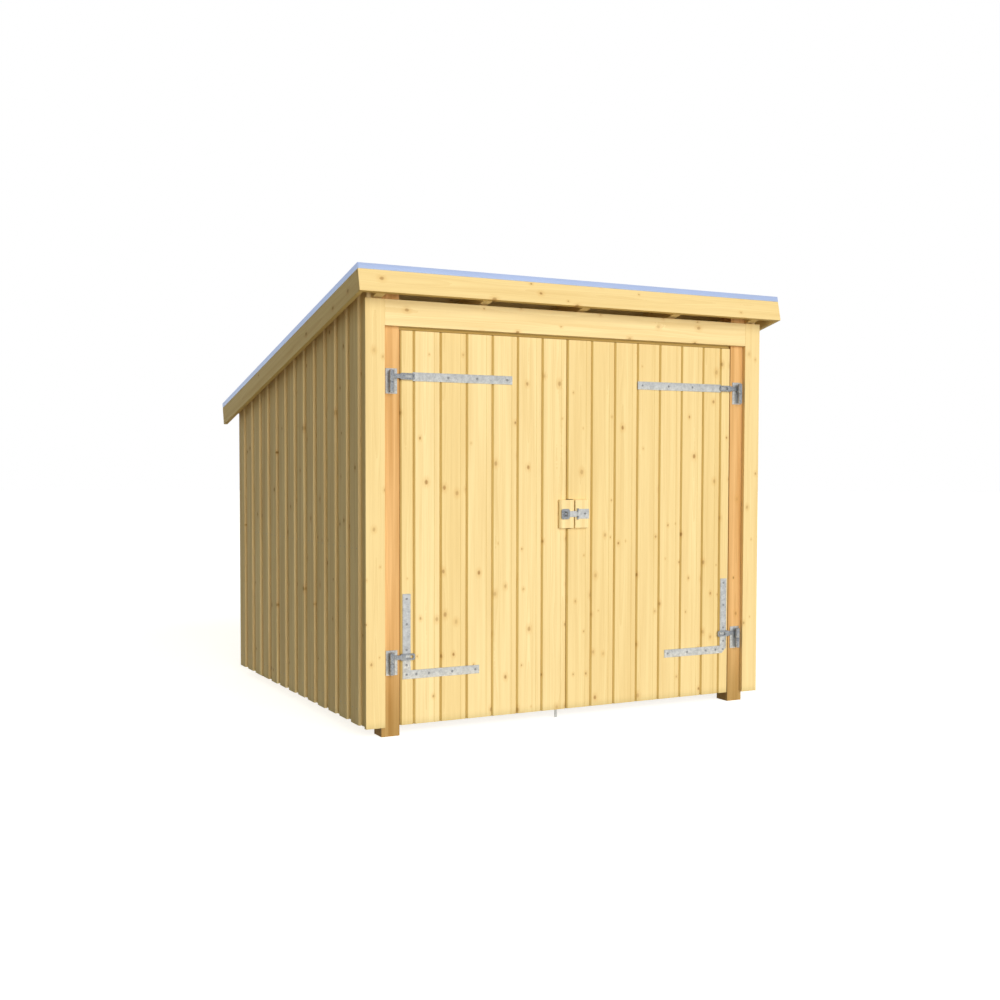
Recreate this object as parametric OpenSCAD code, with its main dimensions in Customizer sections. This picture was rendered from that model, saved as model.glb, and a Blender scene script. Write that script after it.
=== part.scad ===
// Lean-to bike shelter of timber: four posts, boarded walls, a sloping felt roof and
// two hinged door leaves. X runs across the front, the front faces -Y, Z is up.
// The origin lies on the ground, under the centre of the whole outline.

/* [Walls] */
// Width over the side cladding
wall_w = 2222; // [1900:1:2800]
// Depth from the front trim to the back cladding
wall_d = 2046; // [1700:1:2600]
// Height of the top of the front header board
header_top = 1987; // [1900:1:2300]
// Height of the front header board
header_h = 118; // [90:1:150]
// Gap between the ground and the cladding
clad_gap = 47; // [30:1:90]
// Thickness of one cladding board, laid in two lapped layers
clad_board_t = 19; // [16:1:24]
// Thickness of the front trim boards
trim_board_t = 22; // [18:1:28]
// Width of the corner boards
corner_board_w = 94; // [86:1:120]

/* [Frame] */
// Side of a square corner post
post_w = 90; // [70:1:110]
// Thickness of the wall rails
rail_t = 45; // [38:1:60]
// Height of the wall rails
rail_h = 70; // [45:1:95]
// Height of the centre of the middle wall rails
rail_mid_z = 860; // [600:1:1100]
// Height of the beams that carry the rafters
beam_h = 90; // [70:1:110]
// Thickness of the beams
beam_t = 45; // [38:1:60]

/* [Roof] */
// Slope of the roof, falling to the back, in degrees
roof_slope = 12.9; // [9:0.1:16]
// Reach of the roof past the side cladding
side_overhang = 62; // [50:1:120]
// Reach of the roof's lower front edge past the front trim
front_overhang = 93; // [60:1:150]
// Reach of the roof's lower back edge past the back cladding
back_overhang = 112; // [80:1:180]
// Height of the fascia boards and bargeboards
fascia_h = 102; // [96:1:130]
// Height of the back fascia, which closes the roof deck's lower edge between the bargeboards
back_fascia_h = 34; // [24:1:90]
// Thickness of the fascia boards and bargeboards
fascia_t = 22; // [18:1:28]
// Height of the rafters
rafter_h = 90; // [70:1:95]
// Thickness of the rafters
rafter_w = 45; // [38:1:60]
// Spacing of the rafters, counted from the left one
rafter_pitch = 535; // [480:1:560]
// Rise of the rafters over the header board
rafter_lift = 2; // [1:1:20]
// Thickness of the roof deck
deck_t = 18; // [15:1:24]
// Thickness of the roofing felt
felt_t = 3; // [2:1:5]
// Height of the metal edge trim
edge_trim_h = 27; // [24:1:40]
// Width of the metal edge trim's top
edge_trim_w = 45; // [30:1:80]
// Sheet thickness of the metal edge trim
edge_trim_t = 2; // [1:0.5:3]

/* [Doors] */
// Thickness of the door boards
door_board_t = 20; // [18:1:26]
// Height of the top of the doors under the header board's lower edge
door_drop = 16; // [8:1:40]
// Gap between a post and the door leaf beside it
door_side_gap = 5; // [4:1:12]
// Place of the left leaf's free edge, measured from the left side cladding
door_split = 1055.5; // [900:0.5:1090]
// Gap between the two leaves
door_centre_gap = 9.5; // [8:0.5:14]
// Width of a door ledge
ledge_h = 95; // [70:1:140]
// Thickness of the door ledges and braces
ledge_t = 22; // [18:1:28]
// Gap from a leaf's free edge to its ledges
ledge_end_gap = 68; // [60:1:120]

/* [Hinges] */
// Distance of the hinge pins from the side cladding
pin_x = 126.5; // [115:0.5:140]
// Distance of the hinge pins in front of the door leaves
pin_stand = 22; // [20:0.5:26]
// Radius of the hinge pins
pin_r = 7; // [5:0.5:9]
// Running clearance around the hinge pins
pin_clearance = 0.3; // [0.2:0.1:0.5]
// Outer radius of the hinge eyes
eye_r = 12; // [11:0.5:15]
// Height of a hinge eye
eye_h = 50; // [40:1:60]
// Height of the centre of the upper hinge eyes
upper_eye_z = 1645; // [1400:1:1680]
// Height of the centre of the lower hinge eyes
lower_eye_z = 362; // [300:1:500]
// Height of a strap hinge's leg
strap_w = 40; // [35:1:50]
// Thickness of the hinge straps and plates
strap_t = 4; // [3:0.5:6]
// Length of the upper straps from the leaf's edge
upper_strap_l = 576; // [400:1:650]
// Length of each leg of the lower angle straps
lower_strap_l = 393; // [300:1:420]
// Height of the lower strap's horizontal leg above the leaf's lower edge
lower_strap_lift = 212; // [150:1:240]

/* [Latch] */
// Height of the centre of the latch blocks
latch_z = 1006; // [900:1:1100]
// Width of a latch block
block_w = 79; // [70:1:90]
// Height of a latch block
block_h = 138; // [110:1:180]
// Thickness of a latch block
block_t = 20; // [16:1:24]
// Reach of the left latch block past the left leaf's edge
block_reach = 33.5; // [20:0.5:50]
// Gap between the latch blocks
block_gap = 7; // [6:0.5:10]
// Thickness of the hasp's sheet
hasp_t = 2.5; // [2:0.5:4]
// Radius of the drop bolt's rod
bolt_r = 7; // [6:0.5:9]
// Length of the drop bolt's rod
bolt_l = 430; // [300:1:600]

/* [Hidden] */

$fn = 48;

// Timber and metal colours
spruce = "#EFD294";
shaded_spruce = "#C9AC6C";
fresh_post = "#E0AC6C";
zinc = "#B4B8BC";
blue_grey = "#A9BCDD";
felt_black = "#4B4E52";

clad_t = 2 * clad_board_t;
// From the side cladding's outer face to a post's outer face
post_in = clad_t + rail_t;
// Y of the back faces of the posts, and of the back rails' outer faces
back_post_y = wall_d - post_in;
back_clad_y = wall_d - clad_t;

slope_tan = tan(roof_slope);
slope_cos = cos(roof_slope);
roof_run = wall_d + front_overhang + back_overhang;
roof_len = roof_run / slope_cos;
roof_w = wall_w + 2 * side_overhang;
rafter_low = fascia_h - rafter_h;
deck_top = fascia_h + deck_t;
// The posts and side walls end just under the roof deck, which the rafters carry
deck_gap = 0.5;
wall_top = fascia_h - deck_gap;
roof_top = fascia_h + edge_trim_h;
// The rafters' lower faces cross the header's back face just over its top
eave_z = header_top + rafter_lift - rafter_low / slope_cos
    + (trim_board_t + front_overhang) * slope_tan;
// Whole depth, from the fascia's lower edge to the trim's upper back edge
whole_d = roof_run + roof_top * sin(roof_slope);
front_y = front_overhang - whole_d / 2;

beam_front_z = header_top + rafter_lift;
header_low = header_top - header_h;
door_top = header_low - door_drop;
door_face_y = trim_board_t;
leaf_left = post_in + post_w + door_side_gap;
leaf_right = wall_w - leaf_left;
right_leaf_left = door_split + door_centre_gap;
strap_y = door_face_y - strap_t;
pin_y = door_face_y - pin_stand;
// Space kept between a metal piece and the wood or metal that it moves past
slip = 0.3;

// Hinge plate on a post, and its bracket under the eye
pintle_plate_x = 104;
pintle_plate_w = 57;
pintle_plate_h = 114;
pintle_plate_drop = 4;
bracket_w = 16;
// Gap under a hinge eye, and how far the pin stands out over it
eye_gap = 1;
pin_rise = 2;
// Neck from a hinge eye to the loop that holds the strap
neck_h = 20;
neck_grip = 3;
neck_back = 2;
loop_x = pin_x + 46;
loop_l = 73;
loop_h = 30;
loop_t = 9;
loop_corner = 8;
loop_arm = 8;
loop_root = 26;
// Tongue of the upper strap, seen through the loop
tongue_inset = 6;
tongue_h = loop_h - loop_arm;
// Gap from a leaf's edge to the lower strap
strap_inset = 9;

// Height of the lower wall rails over the cladding's lower edge
rail_low_lift = 40;
ledge_inset = 20;
brace_w = 70;

block_left_x = door_split + block_reach - block_w;
block_right_x = door_split + block_reach + block_gap;
block_y = door_face_y - block_t;
// Hasp: a plate, knuckles around a pin, and a flap with a window for the staple
hasp_pin_r = 2;
knuckle_r = 4.5;
knuckle_h = 18;
knuckle_inset = 12;
knuckle_lift = 0.5;
knuckle_x = block_right_x + knuckle_inset;
knuckle_y = block_y - knuckle_lift - knuckle_r;
hasp_plate_h = 48;
hasp_plate_x = knuckle_x + 6;
hasp_edge = 2;
flap_neck_h = 29;
flap_end_h = 50;
flap_end_w = 46;
flap_corner = 10;
flap_edge = 6;
flap_left = block_left_x + flap_edge;
flap_back_y = block_y - hasp_t - slip;
flap_face_y = flap_back_y - hasp_t;
window_w = 22;
window_h = 28;
staple_x = flap_left + flap_end_w / 2;
staple_plate_w = 40;
staple_wire_r = 2.5;
staple_half = 8;
staple_reach = 18;

// Drop bolt: its rod, its bent handle and its two guides on the left leaf's back
bolt_low = 3;
bolt_inset = 36;
bolt_slack = 0.5;
handle_r = 6;
handle_l = 55;
guide_z = [90, 330];
guide_h = 30;
guide_plate_w = 52;
guide_plate_t = 2;
guide_loop_w = 24;
guide_wall = 3;
leaf_back_y = door_face_y + door_board_t;
bolt_x = door_split - bolt_inset;
bolt_y = leaf_back_y + guide_plate_t + guide_wall + bolt_r;

// Places everything in the frame whose origin is under the outline's centre
module placed() {
    translate([-wall_w / 2, front_y, 0]) children();
}

// Mirrors a left-hand piece to the right-hand side
module right_side() {
    translate([wall_w, 0, 0]) mirror([1, 0, 0]) children();
}

// Box between two opposite corners
module box(low, high) {
    translate(low) cube(high - low);
}

// Flat outline in x and z, extruded from depth y0 to depth y1
module upright(y0, y1) {
    translate([0, y1, 0]) rotate([90, 0, 0]) linear_extrude(y1 - y0) children();
}

// Rectangle with round corners between two opposite corners
module rounded(low, high, r) {
    size = high - low;
    translate(low + [r, 0]) square(size - [2 * r, 0]);
    translate(low + [0, r]) square(size - [0, 2 * r]);
    for (x = [low[0] + r, high[0] - r], z = [low[1] + r, high[1] - r])
        translate([x, z]) circle(r);
}

// Height of a plane of the roof, n above the fascia's lower face, at depth y
function roof_z(n, y) = eave_z + n / slope_cos - (y + front_overhang) * slope_tan;

// Upright prism under the roof: its top follows a plane of the roof
module under_roof(x0, x1, y0, y1, z0, n) {
    outline = [
        [y0, z0],
        [y1, z0],
        [y1, roof_z(n, y1)],
        [y0, roof_z(n, y0)]
    ];
    translate([x0, 0, 0])
        rotate([90, 0, 90])
            linear_extrude(x1 - x0) polygon(outline);
}

// Frame that lies in the roof's slope: x across, y down the slope, z out of the roof
module on_slope() {
    translate([-side_overhang, -front_overhang, eave_z])
        rotate([-roof_slope, 0, 0]) children();
}

// ---- Posts, walls and beams ----

module front_post() {
    color(fresh_post) under_roof(
        post_in, post_in + post_w, trim_board_t, trim_board_t + post_w, 0, wall_top
    );
}

module back_post() {
    color(fresh_post) under_roof(
        post_in, post_in + post_w, back_post_y - post_w, back_post_y, 0, wall_top
    );
}

module side_wall() {
    color(shaded_spruce) under_roof(0, clad_t, trim_board_t, wall_d, clad_gap, wall_top);
}

module back_wall() {
    color(shaded_spruce) box(
        [clad_t, back_clad_y, clad_gap],
        [wall_w - clad_t, wall_d, roof_z(rafter_low, wall_d)]
    );
}

// Heights of the lower edges of the wall rails
function rail_zs() = [clad_gap + rail_low_lift, rail_mid_z - rail_h / 2];

module side_rails() {
    color(spruce) for (z = rail_zs())
        box([clad_t, trim_board_t, z], [post_in, back_clad_y - rail_t, z + rail_h]);
}

module back_rails() {
    color(spruce) for (z = rail_zs())
        box([clad_t, back_post_y, z], [wall_w - clad_t, back_clad_y, z + rail_h]);
}

module corner_board() {
    color(spruce) box([0, 0, clad_gap], [corner_board_w, trim_board_t, header_top]);
}

module front_header() {
    color(spruce) box(
        [corner_board_w, 0, header_low],
        [wall_w - corner_board_w, trim_board_t, header_top]
    );
}

module front_beam() {
    color(spruce) front_beam_body();
}

module front_beam_body() {
    box(
        [post_in + post_w, trim_board_t, beam_front_z - beam_h],
        [wall_w - post_in - post_w, trim_board_t + beam_t, beam_front_z]
    );
}

module back_beam() {
    color(spruce) back_beam_body();
}

module back_beam_body() {
    top = roof_z(rafter_low, back_post_y - beam_t);
    box(
        [post_in + post_w, back_post_y - beam_t, top - beam_h],
        [wall_w - post_in - post_w, back_post_y, top]
    );
}

// ---- Roof ----

// Rafter whose left face lies at x; it is notched over the two beams
module rafter(x) {
    color(spruce) difference() {
        on_slope() box(
            [x + side_overhang, fascia_t, rafter_low],
            [x + side_overhang + rafter_w, roof_len - fascia_t, fascia_h]
        );
        front_beam_body();
        back_beam_body();
    }
}

module left_end_rafter() {
    rafter(post_in - rafter_w);
}

module right_end_rafter() {
    rafter(wall_w - post_in);
}

module middle_rafters() {
    for (i = [1 : 3]) rafter(post_in - rafter_w + i * rafter_pitch);
}

module front_fascia() {
    color(spruce) on_slope() box([0, 0, 0], [roof_w, fascia_t, fascia_h]);
}

module back_fascia() {
    color(spruce) on_slope() box(
        [fascia_t, roof_len - fascia_t, fascia_h - back_fascia_h],
        [roof_w - fascia_t, roof_len, fascia_h]
    );
}

module bargeboard() {
    color(spruce) on_slope()
        box([0, fascia_t, 0], [fascia_t, roof_len, fascia_h]);
}

module roof_deck() {
    color(spruce) on_slope() box(
        [edge_trim_t, edge_trim_t, fascia_h],
        [roof_w - edge_trim_t, roof_len - edge_trim_t, deck_top]
    );
}

module roofing_felt() {
    color(felt_black) on_slope() box(
        [edge_trim_t, edge_trim_t, deck_top],
        [roof_w - edge_trim_t, roof_len - edge_trim_t, deck_top + felt_t]
    );
}

// Channel profile of the edge trim: outer leg, top and inner leg that stands on the felt
module trim_profile() {
    inner = edge_trim_w - edge_trim_t;
    polygon([
        [0, fascia_h],
        [edge_trim_t, fascia_h],
        [edge_trim_t, roof_top - edge_trim_t],
        [inner, roof_top - edge_trim_t],
        [inner, deck_top + felt_t],
        [edge_trim_w, deck_top + felt_t],
        [edge_trim_w, roof_top],
        [0, roof_top]
    ]);
}

// Edge trim along x between the side trims' outer legs, its own outer leg at the front
module cross_trim() {
    translate([edge_trim_t, 0, 0])
        rotate([90, 0, 90]) linear_extrude(roof_w - 2 * edge_trim_t) trim_profile();
}

module front_edge_trim() {
    color(blue_grey) on_slope() cross_trim();
}

module back_edge_trim() {
    color(blue_grey) on_slope()
        translate([0, roof_len, 0]) mirror([0, 1, 0]) cross_trim();
}

// Side trim; its outer leg runs on past its top and closes the cross trims' ends
module side_edge_trim() {
    color(blue_grey) on_slope() {
        translate([0, roof_len - edge_trim_w, 0])
            rotate([90, 0, 0]) linear_extrude(roof_len - 2 * edge_trim_w) trim_profile();
        box([0, 0, fascia_h], [edge_trim_t, roof_len, roof_top]);
    }
}

// ---- Hinges ----

// Plate, bracket and pin that stay on the post; the eye turns on the upper half
module pintle(eye_z) {
    seat = eye_z - eye_h / 2 - eye_gap;
    low = seat - eye_h;
    plate_z = low - pintle_plate_drop;
    box(
        [pintle_plate_x, strap_y, plate_z],
        [pintle_plate_x + pintle_plate_w, door_face_y, plate_z + pintle_plate_h]
    );
    box([pin_x - bracket_w / 2, pin_y, low], [pin_x + bracket_w / 2, strap_y, seat]);
    translate([pin_x, pin_y, low]) cylinder(r = eye_r, h = seat - low);
    translate([pin_x, pin_y, seat]) cylinder(r = pin_r, h = eye_h + eye_gap + pin_rise);
}

module pintle_pair() {
    color(zinc) {
        pintle(upper_eye_z);
        pintle(lower_eye_z);
    }
}

// Eye around the pin, its neck and the loop that holds the strap
module hinge_eye(eye_z) {
    loop_end = loop_x + loop_l;
    loop_low = eye_z - loop_h / 2;
    difference() {
        union() {
            translate([pin_x, pin_y, eye_z - eye_h / 2]) cylinder(r = eye_r, h = eye_h);
            box(
                [pin_x, pin_y + eye_r - neck_grip, eye_z - neck_h / 2],
                [loop_x + loop_corner, strap_y - neck_back, eye_z + neck_h / 2]
            );
        }
        translate([pin_x, pin_y, eye_z - eye_h / 2 - 1])
            cylinder(r = pin_r + pin_clearance, h = eye_h + 2);
    }
    upright(strap_y - loop_t, strap_y) difference() {
        rounded([loop_x, loop_low], [loop_end, loop_low + loop_h], loop_corner);
        rounded(
            [loop_x + loop_root, loop_low + loop_arm],
            [loop_end - loop_arm, loop_low + loop_h - loop_arm],
            loop_corner / 2
        );
    }
}

module upper_strap() {
    strap_left = loop_x + loop_l - loop_corner;
    color(zinc) {
        hinge_eye(upper_eye_z);
        box(
            [leaf_left + tongue_inset, strap_y, upper_eye_z - tongue_h / 2],
            [strap_left, door_face_y, upper_eye_z + tongue_h / 2]
        );
        box(
            [strap_left, strap_y, upper_eye_z - strap_w / 2],
            [leaf_left + upper_strap_l, door_face_y, upper_eye_z + strap_w / 2]
        );
    }
}

module lower_strap() {
    low = clad_gap + lower_strap_lift;
    left = leaf_left + strap_inset;
    color(zinc) {
        hinge_eye(lower_eye_z);
        box([left, strap_y, low], [left + strap_w, door_face_y, low + lower_strap_l]);
        box([left, strap_y, low], [left + lower_strap_l, door_face_y, low + strap_w]);
    }
}

// ---- Door leaves ----

module left_leaf_boards() {
    color(spruce) box(
        [leaf_left, door_face_y, clad_gap],
        [door_split, leaf_back_y, door_top]
    );
}

// The right leaf is cut back where the left latch block reaches over it
module right_leaf_boards() {
    color(spruce) difference() {
        box(
            [right_leaf_left, door_face_y, clad_gap],
            [leaf_right, leaf_back_y, door_top]
        );
        box(
            [right_leaf_left - 1, door_face_y - 1, latch_z - block_h / 2 - block_gap],
            [block_right_x, leaf_back_y + 1, latch_z + block_h / 2 + block_gap]
        );
    }
}

// Two ledges and the slanting brace between them, from the hinge foot to the free edge
module leaf_ledges(x0, x1) {
    low_z = lower_eye_z - ledge_h / 2;
    high_z = upper_eye_z - ledge_h / 2;
    foot = low_z + ledge_h;
    brace = [
        [x0, foot],
        [x0 + brace_w, foot],
        [x1, high_z],
        [x1 - brace_w, high_z]
    ];
    color(spruce) upright(leaf_back_y, leaf_back_y + ledge_t) {
        translate([x0, low_z]) square([x1 - x0, ledge_h]);
        translate([x0, high_z]) square([x1 - x0, ledge_h]);
        polygon(brace);
    }
}

module left_leaf_ledges() {
    leaf_ledges(leaf_left + ledge_inset, door_split - ledge_end_gap);
}

module right_leaf_ledges() {
    right_side()
        leaf_ledges(leaf_left + ledge_inset, wall_w - right_leaf_left - ledge_end_gap);
}

// ---- Latch ----

module latch_block(x) {
    color(spruce) box(
        [x, block_y, latch_z - block_h / 2],
        [x + block_w, door_face_y, latch_z + block_h / 2]
    );
}

// Loop for a padlock that stands out of the left block, on its own plate
module hasp_staple() {
    color(zinc) {
        box(
            [staple_x - staple_plate_w / 2, block_y - hasp_t, latch_z - flap_end_h / 2],
            [staple_x + staple_plate_w / 2, block_y, latch_z + flap_end_h / 2]
        );
        for (side = [-1, 1])
            translate([staple_x, block_y - 1, latch_z + side * staple_half])
                rotate([90, 0, 0]) cylinder(r = staple_wire_r, h = staple_reach - 1);
        translate([staple_x, block_y - staple_reach, latch_z]) rotate([0, 90, 0])
            rotate([0, 0, 180]) rotate_extrude(angle = 180)
                translate([staple_half, 0]) circle(r = staple_wire_r);
    }
}

// Knuckle of the hasp that starts at height z
module knuckle(z) {
    translate([knuckle_x, knuckle_y, z]) cylinder(r = knuckle_r, h = knuckle_h);
}

// Fixed leaf of the hasp, with its outer knuckles and the pin
module hasp_plate() {
    color(zinc) {
        box(
            [hasp_plate_x, block_y - hasp_t, latch_z - hasp_plate_h / 2],
            [block_right_x + block_w - hasp_edge, block_y, latch_z + hasp_plate_h / 2]
        );
        for (side = [-1, 1]) {
            z = latch_z + side * (knuckle_h + slip) - knuckle_h / 2;
            knuckle(z);
            box(
                [knuckle_x, block_y - hasp_t - knuckle_lift, z],
                [hasp_plate_x + 1, block_y - knuckle_lift, z + knuckle_h]
            );
        }
        translate([knuckle_x, knuckle_y, latch_z - knuckle_h])
            cylinder(r = hasp_pin_r, h = 2 * knuckle_h);
    }
}

// Arched window of the hasp's flap
module flap_window() {
    arch_z = latch_z + window_h / 2 - window_w / 2;
    translate([staple_x - window_w / 2, latch_z - window_h / 2])
        square([window_w, arch_z - latch_z + window_h / 2]);
    translate([staple_x, arch_z]) circle(r = window_w / 2);
}

// Swinging flap with an arched window that drops over the staple
module hasp_flap() {
    end_right = flap_left + flap_end_w;
    neck_right = knuckle_x - knuckle_r - 2;
    tab_right = knuckle_x - hasp_pin_r - 1;
    color(zinc) {
        upright(flap_face_y, flap_back_y) difference() {
            union() {
                rounded(
                    [flap_left, latch_z - flap_end_h / 2],
                    [end_right, latch_z + flap_end_h / 2],
                    flap_corner
                );
                translate([end_right - 1, latch_z - flap_neck_h / 2])
                    square([neck_right - end_right + 1, flap_neck_h]);
                translate([neck_right - 1, latch_z - knuckle_h / 2])
                    square([tab_right - neck_right + 1, knuckle_h]);
            }
            flap_window();
        }
        difference() {
            knuckle(latch_z - knuckle_h / 2);
            translate([knuckle_x, knuckle_y, latch_z - knuckle_h])
                cylinder(r = hasp_pin_r + slip / 2, h = 2 * knuckle_h);
        }
    }
}

// Guides of the drop bolt: plates on the boards with loops around the rod
module bolt_guides() {
    plate_y = leaf_back_y + guide_plate_t;
    color(zinc) for (z = guide_z) difference() {
        union() {
            box(
                [bolt_x - guide_plate_w / 2, leaf_back_y, z],
                [bolt_x + guide_plate_w / 2, plate_y, z + guide_h]
            );
            box(
                [bolt_x - guide_loop_w / 2, plate_y, z],
                [bolt_x + guide_loop_w / 2, bolt_y + bolt_r + guide_wall, z + guide_h]
            );
        }
        translate([bolt_x, bolt_y, z - 1]) cylinder(r = bolt_r + bolt_slack, h = guide_h + 2);
    }
}

// Drop bolt: a rod with a bent handle at its top
module drop_bolt() {
    color(zinc) {
        translate([bolt_x, bolt_y, bolt_low]) cylinder(r = bolt_r, h = bolt_l);
        translate([bolt_x, bolt_y, bolt_low + bolt_l - 2 * handle_r])
            rotate([-90, 0, 0]) cylinder(r = handle_r, h = handle_l);
    }
}

placed() front_post();  // front_left_post
placed() right_side() front_post();  // front_right_post
placed() back_post();  // back_left_post
placed() right_side() back_post();  // back_right_post
placed() side_wall();  // left_wall
placed() right_side() side_wall();  // right_wall
placed() back_wall();
placed() side_rails();  // left_wall_rails
placed() right_side() side_rails();  // right_wall_rails
placed() back_rails();  // back_wall_rails
placed() corner_board();  // left_corner_board
placed() right_side() corner_board();  // right_corner_board
placed() front_header();
placed() front_beam();
placed() back_beam();
placed() left_end_rafter();
placed() right_end_rafter();
placed() middle_rafters();
placed() front_fascia();
placed() back_fascia();
placed() bargeboard();  // left_bargeboard
placed() right_side() bargeboard();  // right_bargeboard
placed() roof_deck();
placed() roofing_felt();
placed() front_edge_trim();
placed() back_edge_trim();
placed() side_edge_trim();  // left_edge_trim
placed() right_side() side_edge_trim();  // right_edge_trim
placed() pintle_pair();  // left_pintles
placed() right_side() pintle_pair();  // right_pintles
placed() left_leaf_boards();
placed() left_leaf_ledges();
placed() upper_strap();  // left_upper_strap
placed() lower_strap();  // left_lower_strap
placed() latch_block(block_left_x);  // left_latch_block
placed() hasp_staple();
placed() bolt_guides();
placed() right_leaf_boards();
placed() right_leaf_ledges();
placed() right_side() upper_strap();  // right_upper_strap
placed() right_side() lower_strap();  // right_lower_strap
placed() latch_block(block_right_x);  // right_latch_block
placed() hasp_plate();
placed() hasp_flap();
placed() drop_bolt();
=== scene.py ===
"""Looks of a timber bike shelter, built around its CAD frame.

Sizes are in metres. X runs across the front, the front faces -Y and Z is up.
"""

import math
import random

import bmesh
import bpy
from bpy.props import FloatProperty, FloatVectorProperty, IntProperty, PointerProperty
from mathutils import Matrix, Vector


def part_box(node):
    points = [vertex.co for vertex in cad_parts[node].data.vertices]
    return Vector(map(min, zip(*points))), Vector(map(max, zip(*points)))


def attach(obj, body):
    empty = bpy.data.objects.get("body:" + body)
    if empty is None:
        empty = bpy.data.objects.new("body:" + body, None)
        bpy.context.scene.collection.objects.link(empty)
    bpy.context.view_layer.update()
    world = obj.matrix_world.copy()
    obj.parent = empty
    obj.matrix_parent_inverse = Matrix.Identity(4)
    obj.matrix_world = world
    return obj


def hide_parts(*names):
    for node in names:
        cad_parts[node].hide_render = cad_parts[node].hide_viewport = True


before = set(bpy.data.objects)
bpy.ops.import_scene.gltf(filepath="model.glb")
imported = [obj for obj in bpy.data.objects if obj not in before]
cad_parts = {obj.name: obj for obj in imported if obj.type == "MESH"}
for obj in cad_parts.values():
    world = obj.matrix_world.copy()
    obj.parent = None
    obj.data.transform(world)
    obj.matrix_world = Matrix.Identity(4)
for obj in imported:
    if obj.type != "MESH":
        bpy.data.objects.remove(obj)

bl_info = {
    "name": "Timber bike shelter",
    "version": (1, 0, 0),
    "blender": (4, 5, 0),
    "location": "3D View > Sidebar > Shelter",
    "description": "Boards, fittings, finishes and studio of a timber bike shelter",
    "category": "Object",
}

ACROSS, DEPTH, UP = 0, 1, 2
# Places count as one under these distances: sums of sizes, vertices, and rounded CAD vertices
EXACT, TOUCHING, NEAR = 1e-6, 1e-5, 1e-4
# A face looks along an axis when its normal reaches this far along it
FACING = 0.5
# Share of a side wall's thickness that its outer boards take
OUTER_SHARE = 0.4


# ---- Settings ----


def linear(code):
    """An sRGB hex colour as linear red, green, blue and alpha."""
    parts = [int(code[i : i + 2], 16) / 255 for i in (1, 3, 5)]
    return [p / 12.92 if p <= 0.04045 else ((p + 0.055) / 1.055) ** 2.4 for p in parts] + [1.0]


def length(name, description, default):
    """A size that a user may change."""
    return FloatProperty(
        name=name, description=description, default=default, min=0.0, unit="LENGTH",
        subtype="DISTANCE",
    )


def colour(name, description, code):
    """A colour that a user may change."""
    return FloatVectorProperty(
        name=name, description=description, default=linear(code), size=4, min=0.0, max=1.0,
        subtype="COLOR",
    )


class ShelterBoards(bpy.types.PropertyGroup):
    """Sizes of the boards that the CAD frame leaves as plain slabs"""

    clad_w: length("Cladding width", "Width of one cladding board", 0.100)
    clad_pitch: length("Cladding pitch", "Spacing of the outer cladding boards", 0.1542)
    clad_start: length("Cladding start", "From the wall's front end to its first outer board", 0.073)
    door_cover: length("Door board cover", "Spacing of the seams between door boards", 0.135)
    left_rip: length("Left ripped board", "Width of the left leaf's board at the hinges", 0.0674)
    right_rip: length("Right ripped board", "Width of the right leaf's board at the hinges", 0.0576)
    vee: length("V joint", "Depth of the chamfer at a board's seam", 0.0066)
    bead_in: length("Bead distance", "From a door board's right seam to its bead", 0.031)
    bead: length("Bead depth", "Depth of the fine bead in a door board", 0.0009)
    seam: length("Seam", "Gap left between two door boards", 0.0010)
    lip: length("Lip", "Reach of a leaf's meeting edge past its CAD board", 0.003)
    tongue: length("Tongue", "Thickness of a door board's tongue", 0.006)
    deck_cover: length("Deck cover", "Spacing of the roof deck's boards", 0.0953)
    arris: length("Arris", "Rounding of a planed board's edges", 0.0016)
    felt_lap: length("Felt lap", "Width of the lap between two courses of felt", 0.08)
    felt_course: length("Felt course", "Spacing of the courses of felt", 0.76)


class ShelterMetal(bpy.types.PropertyGroup):
    """Sizes of the screws and nails and of the metal's edges"""

    edge: length("Edge", "Rounding of a metal edge", 0.0007)
    screw_r: length("Screw radius", "Radius of a strap screw's head", 0.0058)
    nail_r: length("Nail radius", "Radius of a cladding nail's head", 0.0022)
    facets: IntProperty(name="Facets", description="Sides of a screw's head", default=14, min=8, max=24)


class ShelterColours(bpy.types.PropertyGroup):
    """Colours of the finishes, before light falls on them"""

    spruce: colour("Spruce", "Early wood of planed spruce", "#EED394")
    spruce_late: colour("Spruce streak", "Late wood and resin streaks of spruce", "#DDBB7A")
    spruce_pale: colour("Spruce sapwood", "Sapwood of the palest boards", "#FFEAB4")
    sawn: colour("Sawn spruce", "Early wood of the fine-sawn cladding", "#F5DDA8")
    sawn_late: colour("Sawn streak", "Late wood streaks of the cladding", "#D9B981")
    knot: colour("Knot", "Core of a sound knot", "#A0753E")
    knot_halo: colour("Knot halo", "Resinous wood round a knot", "#D6A55C")
    post: colour("Post", "Freshly sawn heartwood of a post", "#EEC083")
    post_late: colour("Post streak", "Late wood of a post", "#C69253")
    # Joint is painted shade, multiplied into V joints, beads, the roof deck and other shaded faces
    joint: colour("Joint", "Tint of the rough faces in a V joint and of the roof's underside", "#E2DABC")
    # The Damp colour darkens timber towards the ground, up to a height given for each finish
    ground_darkening: colour("Damp", "Tint of timber that takes up water near the ground", "#B4B89C")
    zinc: colour("Zinc", "Hot-dip galvanised steel", "#D6D7D5")
    zinc_dark: colour("Dull zinc", "Duller crystals and handling marks", "#B0B2B3")
    # Rod is painted shade: a darker grey for the standing-out parts of the hinges and latch
    rod: colour("Forged rod", "Galvanised eye and loop of a hinge", "#7F858F")
    screw: colour("Screw", "Bright zinc-plated screw", "#8E9196")
    edging: colour("Roof edging", "Baked enamel on the sheet edging", "#B5C6EA")
    felt: colour("Roofing felt", "Slate granules on bitumen felt", "#54585E")
    floor: colour("Studio floor", "Pale floor under the shelter", "#F4F4F2")


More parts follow.
